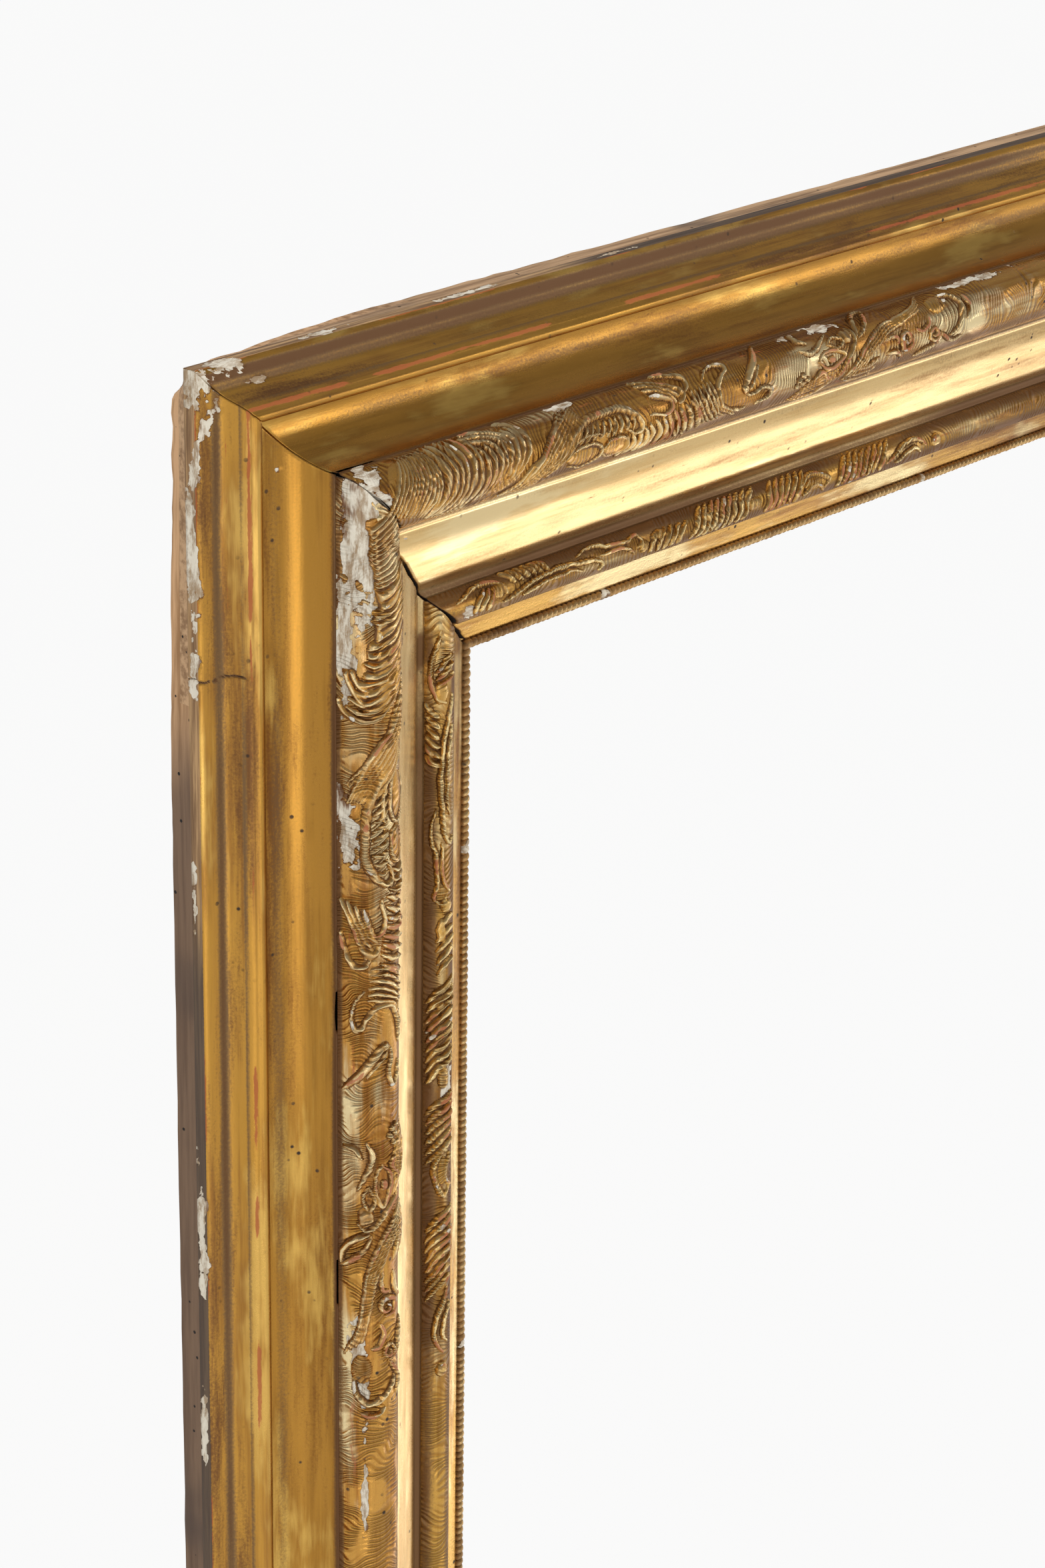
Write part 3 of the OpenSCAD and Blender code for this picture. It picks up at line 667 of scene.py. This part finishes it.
torusDomes = [(163, 3.8, 9.5, 3.6, 0.8), (182, 4, 6, 4, 0.8), (332.5, -10, 4, 3, 1.5),
              (262, -2.5, 1.8, 1.8, 1.6), (298, 1.5, 1.4, 1.4, 1.3), (301, 0, 1.3, 1.3, 1.3),
              (303.5, 2, 1.3, 1.3, 1.3), (300.5, 3.5, 1.2, 1.2, 1.2), (297, 4.5, 1.1, 1.1, 1.1),
              (320, -3, 2.2, 1.4, 1.4), (96, 3, 22, 12, 0.35), (70, -6, 14, 12, 0.3), (398, -12, 6, 4, 0.9)]
torusCurls = [(372, -1.5, 5, 1.1), (392.5, 0, 4, 1.0), (346, -1, 2.6, 0.9)]

# Feathers of the inner ornament: slanting combs with discs and small shells between them
bandFamilies = [
    (3, 1.2, 1.3, [(130, 2), (132, -2), (136, -6)], [(137, 2), (139, -2), (142, -6)]),
    (6, 1.6, 1.7, [(149, -9.8), (152, -7.5), (154, -4.5)], [(169, -9.8), (172, -7.5), (174, -4.5)]),
    (5, 1.4, 1.4, [(236, 3), (238, -1), (242, -5)], [(254, 3), (256, -1), (260, -5)]),
    (9, 1.4, 1.5, [(262, 3), (265, -1), (267, -5), (272, -9)], [(296, 3), (299, -1), (301, -5), (306, -9)]),
    (6, 1.4, 1.5, [(312, 3), (314, -1), (316, -5), (320, -9)], [(332, 3), (334, -1), (337, -5), (341, -9)]),
    (8, 1.4, 1.5, [(362, 3), (364, -1), (367, -5), (372, -9)], [(392, 3), (394, -1), (397, -5), (402, -9)]),
]
bandStrokes = [
    (1.1, 1.3, [(120, -4), (126, -6), (132, -8), (140, -8), (146, -6), (149, -2)]),
    (1.2, 1.6, [(146, 1), (156, -1), (166, -3), (178, -4), (190, -3.6), (200, -2.5), (206, 0), (204, 2.5)]),
    (1.0, 1.4, [(158, 1.5), (168, -0.5), (178, -1.5), (188, -1.4), (194, 0)]),
    (1.1, 1.5, [(192, -6), (200, -7.5), (210, -6), (220, -5), (228, -6), (231, -3), (228, -1)]),
    (1.0, 1.3, [(206, -3), (214, -3.5), (222, -2), (226, 1)]),
    (1.4, 1.6, [(333, 0), (338, -4), (345, -6), (352, -4), (356, -1), (352, 2)]),
    (1.1, 1.4, [(338, 2), (344, -1), (350, 0), (352, 3)]),
    (1.2, 1.5, [(398, 1), (406, -3), (414, -5), (422, -4), (426, -1)]),
    (1.0, 1.3, [(404, 2), (411, -1), (418, -1.5), (422, 1)]),
]
bandDomes = [(144, -4, 5, 3, 1.0), (242, -3, 5, 2, 1.2), (274, -3.5, 2.6, 2.2, 1.4),
             (304, -2.5, 5, 2.6, 1.3), (345, -2, 6, 3, 1.0), (232, -1, 3, 3, 1.1), (434, -2, 3, 2.5, 1.2)]

# The round that each ornament stands on, how far it covers it, and a lost patch, given as its
# place, half length and half width
ornaments = {
    "torus_ornament": {
        "finish": "torus", "slot": "ornament_gilding",
        "mid": torusMid, "base": torusH, "radius": section["torusRadius"],
        "alongReach": (48, 424), "acrossReach": (-21.2, 13), "lost": (78, -15, 36, 10),
        "families": torusFamilies, "strokes": torusStrokes, "domes": torusDomes, "curls": torusCurls},
    "sight_ornament": {
        "finish": "feathers", "slot": "sight_ornament_gilding",
        "mid": ovoloMid, "base": ovoloH, "radius": section["ovoloRadius"],
        "alongReach": (118, 440), "acrossReach": (-10.2, 4.7),
        "families": bandFamilies, "strokes": bandStrokes, "domes": bandDomes, "curls": []},
}
reliefSize = {"fine": 0.42, "coarse": 0.85, "tallest": 1.75, "sunk": 0.1, "skin": 0.7, "curlHeight": 1.4}
reliefSeed = 71


def curl(s, v, radius, turns=1.4):
    return [(s + radius * (1 - k / 22) * math.cos(2 * math.pi * turns * k / 18),
             v + radius * (1 - k / 22) * math.sin(2 * math.pi * turns * k / 18)) for k in range(19)]


# A smooth curve through the points of a stroke
def flow(points, step=0.35):
    points = np.asarray(points, float)
    padded = np.concatenate([[2 * points[0] - points[1]], points, [2 * points[-1] - points[-2]]])
    out = []
    for i in range(1, len(padded) - 2):
        p0, p1, p2, p3 = padded[i - 1:i + 3]
        count = max(2, int(np.hypot(*(p2 - p1)) / step))
        t = (np.arange(count) / count)[:, None]
        square, cube = 2 * p0 - 5 * p1 + 4 * p2 - p3, 3 * p1 - p0 - 3 * p2 + p3
        out.append(0.5 * (2 * p1 + (p2 - p0) * t + square * t ** 2 + cube * t ** 3))
    out.append(points[-1:])
    return np.concatenate(out)


# Height in mm of an ornament over a grid of s and v
def reliefOf(about, step):
    sGrid, vGrid = np.arange(*about["alongReach"], step), np.arange(*about["acrossReach"], step)
    height = np.zeros((len(sGrid), len(vGrid)))
    cell = sGrid[1] - sGrid[0]

    def ridge(points, width, tall):
        path = flow(points)
        t = np.linspace(0, 1, len(path))
        thick = width * np.clip(np.sin(np.pi * np.clip(t, 0.02, 0.98)) ** 0.35, 0.25, 1)
        for (s0, v0), w in zip(path, thick):
            i0, i1 = int((s0 - w - sGrid[0]) / cell), int((s0 + w - sGrid[0]) / cell) + 2
            j0, j1 = int((v0 - w - vGrid[0]) / cell), int((v0 + w - vGrid[0]) / cell) + 2
            i0, j0 = max(i0, 0), max(j0, 0)
            if i1 <= i0 or j1 <= j0:
                continue
            block = height[i0:i1, j0:j1]
            near = np.hypot(sGrid[i0:i1, None] - s0, vGrid[None, j0:j1] - v0) / w
            rounded = 0.75 * np.sqrt(np.clip(1 - near ** 2, 0, 1)) + 0.25 * np.clip(1 - near, 0, 1) ** 2
            np.maximum(block, tall * rounded * (w / width) ** 0.6, out=block)

    for s0, v0, halfLength, halfWidth, tall in about["domes"]:
        near = np.hypot((sGrid[:, None] - s0) / halfLength, (vGrid[None, :] - v0) / halfWidth)
        np.maximum(height, tall * np.sqrt(np.clip(1 - near ** 2, 0, 1)), out=height)
    for count, width, tall, first, last in about["families"]:
        first, last = np.asarray(first, float), np.asarray(last, float)
        for k in range(count):
            ridge(first + (last - first) * k / (count - 1), width, tall)
    for width, tall, points in about["strokes"]:
        ridge(points, width, tall)
    for s0, v0, radius, width in about["curls"]:
        ridge(curl(s0, v0, radius), width, reliefSize["curlHeight"])
    return sGrid, vGrid, height


def boxBlur(field, reach):
    for axis in (0, 1):
        field = sum(np.roll(field, k, axis) for k in range(-reach, reach + 1)) / (2 * reach + 1)
    return field


# A closed relief over its round: it stands on a skin sunk under the moulding
def reliefMesh(side, farEnd, grid, about):
    sGrid, vGrid, height = grid
    mid, base, radius, seed = about["mid"], about["base"], about["radius"], reliefSeed
    s, v = np.meshgrid(sGrid, vGrid, indexing="ij")
    # ornament lost with its gesso beside the photographed corner
    if side == "left" and not farEnd and "lost" in about:
        lostS, lostV, halfLength, halfWidth = about["lost"]
        lost = np.hypot((s - lostS) / halfLength, (v - lostV) / halfWidth) + noise(s, v, 8, seed + 15) - 0.5
        height = height * smooth(0.85, 1.0, lost)
    keep = np.maximum.reduce([height[:-1, :-1], height[1:, :-1], height[:-1, 1:], height[1:, 1:]]) > 0.04
    along = sideLength(side) - s if farEnd else s
    # the pressed strands wander a little and are rubbed low in places
    height = height * (0.62 + 0.55 * smooth(0.25, 0.6, noise(s, v, 9, seed + 12)))
    rough = (noise(s, v, 2.2, seed, 2) - 0.5) * 0.3
    bend = 2.2 * (noise(s, v, 6, seed + 13) - 0.5) * np.clip((s - mid) / 20, 0, 1)
    sway = 2.0 * (noise(s, v, 6, seed + 14) - 0.5)
    angle = v / radius + sway * np.cos(v / radius) / radius
    face = radius + np.minimum(height * (1.15 + rough), reliefSize["tallest"]) - reliefSize["sunk"]
    points = [place(side, along + bend, mid + reach * np.sin(angle), base + reach * np.cos(angle))
              for reach in (face, radius - reliefSize["skin"])]
    n, m = height.shape
    under = n * m
    index = np.arange(under).reshape(n, m)
    corners = (index[:-1, :-1], index[1:, :-1], index[1:, 1:], index[:-1, 1:])
    a, b, c, d = (corner[keep] for corner in corners)
    quads = [np.stack([a, b, c, d], 1), np.stack([a, d, c, b], 1) + under]
    # walls along each edge of the ornament, where the next cell in that direction is empty
    pad = np.pad(keep, 1)
    for i, j, p, q in ((0, 1, 3, 0), (2, 1, 1, 2), (1, 0, 0, 1), (1, 2, 2, 3)):
        off = keep & ~pad[i:i + n - 1, j:j + m - 1]
        e, f = corners[p][off], corners[q][off]
        quads.append(np.stack([f, e, e + under, f + under], 1))
    faces = np.concatenate(quads)
    used = np.unique(faces)
    lookup = np.full(2 * under, -1)
    lookup[used] = np.arange(len(used))
    faces = lookup[faces]
    # turned over on a mirrored placement, so that the faces always point outwards
    if (side in ("top", "right")) != farEnd:
        faces = faces[:, ::-1]
    # painted shade in the hollows between the ridges and on the inner side of the round, with dust in
    # patches; the crests get a painted highlight, with rubbed bole and chips on them
    soft = boxBlur(height, 3)
    hollow = np.clip((soft - height) * 2.2, 0, 1) * (soft > 0.15)
    crest = np.clip((height - soft) * 2.2, 0, 1)
    dustAndShadeField = hollow * 1.1 + smooth(4, 9, v) * 0.4 + smooth(0.55, 0.75, noise(s, v, 24, seed + 4)) * 0.35
    fields = {"bole": crest * smooth(0.45, 0.7, noise(s, v, 12, seed + 3)), "grimeAndShade": np.clip(dustAndShadeField, 0, 1),
              "bare": crest * smooth(0.72, 0.8, noise(s, v, 5, seed + 8)), "raw": 0 * s, "crest": crest}
    fields = {label: np.tile(values.ravel(), 2)[used] for label, values in fields.items()}
    fields["surface"] = np.tile(surfaceOf(side, along, v + 21.5), (2, 1))[used]
    return np.concatenate(points).reshape(-1, 3)[used], faces, fields


pressed = {kind: {label: reliefOf(about, reliefSize[label]) for label in ("fine", "coarse")}
           for kind, about in ornaments.items()}


# The two photographed ends get the fine grid
def pressOrnament(kind):
    about = ornaments[kind]
    for side in sides:
        near = "fine" if side in ("top", "left") else "coarse"
        ends = [reliefMesh(side, farEnd, pressed[kind][label], about)
                for farEnd, label in ((False, near), (True, "coarse"))]
        vertices = np.concatenate([end[0] for end in ends])
        faces = np.concatenate([ends[0][1], ends[1][1] + len(ends[0][0])]).tolist()
        fields = {label: np.concatenate([end[2][label] for end in ends]) for label in ends[0][2]}
        piece = makeObject(kind + "_" + side + "_relief", vertices, faces, finishes[about["finish"]], fields)
        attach(piece, "frame")
        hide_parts(kind + "_" + side)
    print(kind, "pressed")


# How deep a point of the moulding lies in the shade of the ornament, from 0 to 1
shades = {
    "torus_moulding": ("torus_ornament", 0.5 * math.pi * section["torusRadius"]),
    "sight_moulding": ("sight_ornament", math.asin(section["ovoloOuter"]) * section["ovoloRadius"]),
}
softened = {kind: boxBlur(np.minimum(grids["coarse"][2], 0.6) / 0.6, 2) for kind, grids in pressed.items()}


def ornamentShade(kind, side, s, v):
    if kind not in shades:
        return np.zeros_like(s)
    ornament, crown = shades[kind]
    sGrid, vGrid, _ = pressed[ornament]["coarse"]
    cell = sGrid[1] - sGrid[0]
    i = np.round((np.minimum(s, sideLength(side) - s) - sGrid[0]) / cell).astype(int)
    j = np.round((v - crown - vGrid[0]) / cell).astype(int)
    inside = (i >= 0) & (i < len(sGrid)) & (j >= 0) & (j < len(vGrid))
    i, j = np.clip(i, 0, len(sGrid) - 1), np.clip(j, 0, len(vGrid) - 1)
    return np.where(inside, softened[ornament][i, j], 0.0)


pressOrnament("torus_ornament")
for kind, about in mouldings.items():
    for side in sides:
        piece = sweep(kind, side, about)
        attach(piece, "frame")
        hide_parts(kind + "_" + side)
    print(kind, "swept")
pressOrnament("sight_ornament")


# Rope bead: geometry nodes set flattened, slanting beads in a row, then the row is laid on the lip
def ropeTree():
    tree = bpy.data.node_groups.new("rope bead", "GeometryNodeTree")
    sockets = {}
    for label, kind in (("Count", "Int"), ("Pitch", "Float"), ("Radius", "Float"), ("Flatness", "Float"),
                        ("Slant", "Float"), ("Material", "Material")):
        socket = tree.interface.new_socket(label, in_out="INPUT", socket_type="NodeSocket" + kind)
        sockets[label] = socket.identifier
    tree.interface.new_socket("Geometry", in_out="OUTPUT", socket_type="NodeSocketGeometry")
    given = addNode(tree, "NodeGroupInput").outputs
    offset = addNode(tree, "ShaderNodeCombineXYZ", {0: given["Pitch"]}).outputs[0]
    line = addNode(tree, "GeometryNodeMeshLine", {"Count": given["Count"], "Offset": offset}, mode="OFFSET")
    bead = addNode(tree, "GeometryNodeMeshUVSphere", {"Segments": 10, "Rings": 6, "Radius": given["Radius"]})
    squash = addNode(tree, "ShaderNodeCombineXYZ", {0: given["Flatness"], 1: 1.0, 2: 1.0}).outputs[0]
    flat = addNode(tree, "GeometryNodeTransform", {"Geometry": bead.outputs["Mesh"], "Scale": squash})
    slant = addNode(tree, "ShaderNodeCombineXYZ", {2: given["Slant"]}).outputs[0]
    leaning = addNode(tree, "GeometryNodeTransform", {"Geometry": flat.outputs[0], "Rotation": slant})
    worn = addNode(tree, "FunctionNodeRandomValue", {2: 0.9, 3: 1.0, "Seed": 7}, data_type="FLOAT")
    beads = addNode(tree, "GeometryNodeInstanceOnPoints", {
        "Points": line.outputs["Mesh"], "Instance": leaning.outputs[0], "Scale": worn.outputs[1]})
    real = addNode(tree, "GeometryNodeRealizeInstances", {"Geometry": beads.outputs[0]})
    finished = addNode(tree, "GeometryNodeSetMaterial", {
        "Geometry": real.outputs[0], "Material": given["Material"]})
    addNode(tree, "NodeGroupOutput", {0: finished.outputs[0]})
    return tree, sockets


rope = {"pitch": 3.0, "flatness": 0.62, "slant": 45}
ropeRow, ropeSockets = ropeTree()


def layRope(side):
    middle = ropeU + section["ropeRadius"]
    span = sideLength(side) - 2 * middle
    count = int(span / rope["pitch"]) + 1
    given = {"Count": count, "Pitch": rope["pitch"], "Radius": section["ropeRadius"],
             "Flatness": rope["flatness"], "Slant": math.radians(rope["slant"]), "Material": finishes["rope"]}
    host = linked("rope row", bpy.data.meshes.new("rope row"))
    builder = host.modifiers.new("rope bead", "NODES")
    builder.node_group = ropeRow
    for label, value in given.items():
        builder[ropeSockets[label]] = value
    mesh = bpy.data.meshes.new_from_object(host.evaluated_get(bpy.context.evaluated_depsgraph_get()))
    bpy.data.objects.remove(host)
    row = np.empty(len(mesh.vertices) * 3)
    mesh.vertices.foreach_get("co", row)
    along, across, out = row.reshape(-1, 3).T
    along = along + middle + (span - (count - 1) * rope["pitch"]) / 2
    laid = place(side, along, middle + across, lipH + section["ropeRadius"] + out)
    mesh.vertices.foreach_set("co", laid.ravel())
    if side in ("top", "right"):
        mesh.flip_normals()
    worn = noise(along, across, 14, 83)
    # painted shade at the foot of each bead and a painted highlight on its top, with rubbed bole and chips
    writeFields(mesh, {
        "bole": 0.2 * smooth(0.5, 0.7, worn), "grimeAndShade": 0.9 * smooth(1.2, -0.6, out),
        "bare": smooth(0.78, 0.85, worn), "crest": smooth(0.8, 2.2, out) * smooth(0.7, 0.4, worn),
        "raw": 0 * along, "surface": surfaceOf(side, along, across + 150)})
    mesh.shade_smooth()
    return linked("sight_rope_" + side + "_beads", mesh)


for side in sides:
    piece = layRope(side)
    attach(piece, "frame")
    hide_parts("sight_rope_" + side)
print("rope laid")


# Back rails: the CAD rails with their sawn edges worn, most of all at the photographed corner.
# For each side, the depth lost at the corner and how far the wear runs, in mm.
backWear = {"left": (3.8, 165), "top": (3.8, 110)}
railCuts = {"along": [3, 8, *range(4, 180, 5), *range(190, 480, 12)], "deep": (3.3, 6.6)}


def wornRail(name):
    body = bmesh.new()
    body.from_mesh(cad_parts[name].data)
    body.transform(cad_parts[name].matrix_world)
    low, high = Vector(cadLow), Vector(cadHigh)
    cuts = [((0, -h * mm, 0), (0, 1, 0)) for h in railCuts["deep"]]
    cuts += [((low.x + d * mm, 0, 0), (1, 0, 0)) for d in railCuts["along"]]
    cuts += [((0, 0, high.z - d * mm), (0, 0, 1)) for d in railCuts["along"]]
    for point, direction in cuts:
        parts = [*body.verts, *body.edges, *body.faces]
        bmesh.ops.bisect_plane(body, geom=parts, dist=1e-6, plane_co=point, plane_no=direction)
    where = np.array([v.co[:] for v in body.verts]) / mm
    fromLeft, fromTop = where[:, 0] - low.x / mm, high.z / mm - where[:, 2]
    back = np.clip(1 + where[:, 1] / section["backThickness"], 0, 1)
    moves = {}
    for side, s, depth in (("left", fromTop, fromLeft), ("top", fromLeft, fromTop)):
        most, reach = backWear[side]
        ragged = noise(s, where[:, 1], 9, 91 + len(side))
        worn = most * (1 - smooth(0, reach, s)) * (0.75 + 0.5 * ragged)
        worn = worn + 6 * np.exp(-(s / 6) ** 2) + 0.9 * ragged
        moves[side] = worn * back ** 0.8 * np.clip(1 - depth / 14, 0, 1)
    for vertex, right, down in zip(body.verts, moves["left"], moves["top"]):
        vertex.co += Vector((right * mm, 0, -down * mm))
    mesh = bpy.data.meshes.new(name + "_worn")
    body.to_mesh(mesh)
    body.free()
    mesh.materials.append(finishes["pineZ" if name.endswith("left") else "pineX"])
    return linked(name + "_worn", mesh)


for name in ("back_rail_top", "back_rail_left"):
    piece = wornRail(name)
    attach(piece, "frame")
    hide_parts(name)
print("back rails worn")


# CAD nodes that keep their shape
def finishFor(name):
    if name.startswith(("back_rail", "rebate_strip")):
        return finishes["pineZ" if name.endswith(("left", "right")) else "pineX"]
    return finishes["oak" if name == "corner_pegs" else "iron"]


for name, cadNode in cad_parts.items():
    for materialSlot in cadNode.material_slots:
        materialSlot.material = finishFor(name)
print("CAD nodes finished")


# Studio. A low bright panel behind the right side fills the burnished frieze, a low softbox on the
# left draws the pale line down the cove, a soft lamp from above shapes the relief, and a softbox
# on the right sparks on the round of the torus. Each has its place, aim, width, height and glow,
# and says whether the gilding reflects it.
lamps = {
    "low panel on the right": ((1.2, -0.28, -1.06), (1.2, -0.28, 0), 1.3, 0.7, 1.65, True),
    "low softbox on the left": ((-1.4, -1.25, -0.6), (-0.45, -0.03, -0.1), 0.75, 0.4, 1.5, True),
    "soft light from above": ((-0.9, -1.6, 1.6), (0, 0, -0.4), 1.6, 1.6, 1.492, False),
    "softbox on the right": ((0.95, -1.2, 0.3), (-0.25, -0.05, 0), 0.85, 0.36, 2.0588, True),
}
studio = {"worldLight": 0.74, "darkCeiling": 0.27, "ceilingRadius": 6, "ceilingFoot": 0.75, "ceilingTop": 5,
          "floorReach": 12, "floorGlow": 0.85, "floorGap": 0.001}
whiteLight = (1, 1, 1, 1)


def softBox(name, where, target, width, height, glow, shiny):
    lamp = bpy.data.lights.new(name, "AREA")
    lamp.shape = "RECTANGLE"
    lamp.size, lamp.size_y, lamp.energy = width, height, glow * math.pi * width * height
    ahead = (Vector(target) - Vector(where)).normalized()
    sideways = Vector((1, 0, 0)) if abs(ahead.z) > 0.99 else ahead.cross(Vector((0, 0, 1))).normalized()
    turned = Matrix((sideways, sideways.cross(ahead), -ahead)).transposed().to_4x4()
    box = linked(name, lamp)
    box.matrix_world = Matrix.Translation(where) @ turned
    box.visible_camera = False
    box.visible_glossy = shiny


def studioPart(name, vertices, faces, material):
    mesh = bpy.data.meshes.new(name)
    mesh.from_pydata(vertices, [], faces)
    mesh.materials.append(material)
    return linked(name, mesh)


def lightNode(tree, kind, strength):
    return addNode(tree, kind, {"Color": whiteLight, "Strength": strength}).outputs[0]


for name, lamp in lamps.items():
    softBox(name, *lamp)

# The dark upper half of the studio, seen only in reflections, as in the photograph's top rail
flagMaterial, flagTree, _ = newMaterial("dark studio ceiling")
flagGlow = lightNode(flagTree, "ShaderNodeEmission", studio["darkCeiling"])
setInputs(flagTree, flagTree.nodes["Material Output"], {"Surface": flagGlow})
turnsAround = np.radians(np.arange(0, 360, 10))
ringCount = len(turnsAround)
ring = [(studio["ceilingRadius"] * math.cos(a), studio["ceilingRadius"] * math.sin(a), z)
        for z in (studio["ceilingFoot"], studio["ceilingTop"]) for a in turnsAround]
wall = [(i, (i + 1) % ringCount, ringCount + (i + 1) % ringCount, ringCount + i) for i in range(ringCount)]
flag = studioPart("dark ceiling", ring, wall + [tuple(range(ringCount, 2 * ringCount))], flagMaterial)
flag.visible_camera = False
flag.visible_diffuse = False
flag.visible_shadow = False
flag.visible_transmission = False

world = bpy.data.worlds.new("pale studio")
world.use_nodes = True
bpy.context.scene.world = world
skyTree = world.node_tree
skyTree.nodes.clear()
rays = addNode(skyTree, "ShaderNodeLightPath").outputs
mirrored = maths(skyTree, "MAXIMUM", rays["Is Glossy Ray"], rays["Is Transmission Ray"])
seen = maths(skyTree, "MAXIMUM", rays["Is Camera Ray"], mirrored)
sky = addNode(skyTree, "ShaderNodeMixShader", {
    0: seen, 1: lightNode(skyTree, "ShaderNodeBackground", studio["worldLight"]),
    2: lightNode(skyTree, "ShaderNodeBackground", 1.0)})
addNode(skyTree, "ShaderNodeOutputWorld", {"Surface": sky.outputs[0]})

floorMaterial, floorTree, floorShader = newMaterial("pale studio floor")
setInputs(floorTree, floorShader, {"Base Color": hexColour("#f4f4f2"), "Roughness": 0.9})
cameraRay = addNode(floorTree, "ShaderNodeLightPath").outputs["Is Camera Ray"]
floorMix = addNode(floorTree, "ShaderNodeMixShader", {
    0: maths(floorTree, "MULTIPLY", cameraRay, studio["floorGlow"]), 1: floorShader.outputs[0],
    2: lightNode(floorTree, "ShaderNodeEmission", 1.0)})
setInputs(floorTree, floorTree.nodes["Material Output"], {"Surface": floorMix.outputs[0]})
reach, floorZ = studio["floorReach"], cadLow[2] - studio["floorGap"]
floorCorners = [(x * reach, y * reach, floorZ) for x, y in ((-1, -1), (1, -1), (1, 1), (-1, 1))]
floor = studioPart("floor", floorCorners, [(0, 1, 2, 3)], floorMaterial)

# The photograph's camera, fitted to the rails and mitres
cameraData = bpy.data.cameras.new("camera")
cameraData.lens = 95.70
cameraData.sensor_width = 36
camera = linked("camera", cameraData)
right = Vector((0.64507, -0.76402, 0.01252))
up = Vector((0.26377, 0.23802, 0.93476))
ahead = Vector((0.71716, 0.59968, -0.35506))
turn = Matrix((right, up, -ahead)).transposed().to_4x4()
camera.matrix_world = Matrix.Translation((-1.5017, -1.0102, 0.4462)) @ turn
bpy.context.scene.camera = camera
bpy.context.scene.view_settings.view_transform = "Standard"
print("studio and camera set")

bpy.context.view_layer.update()
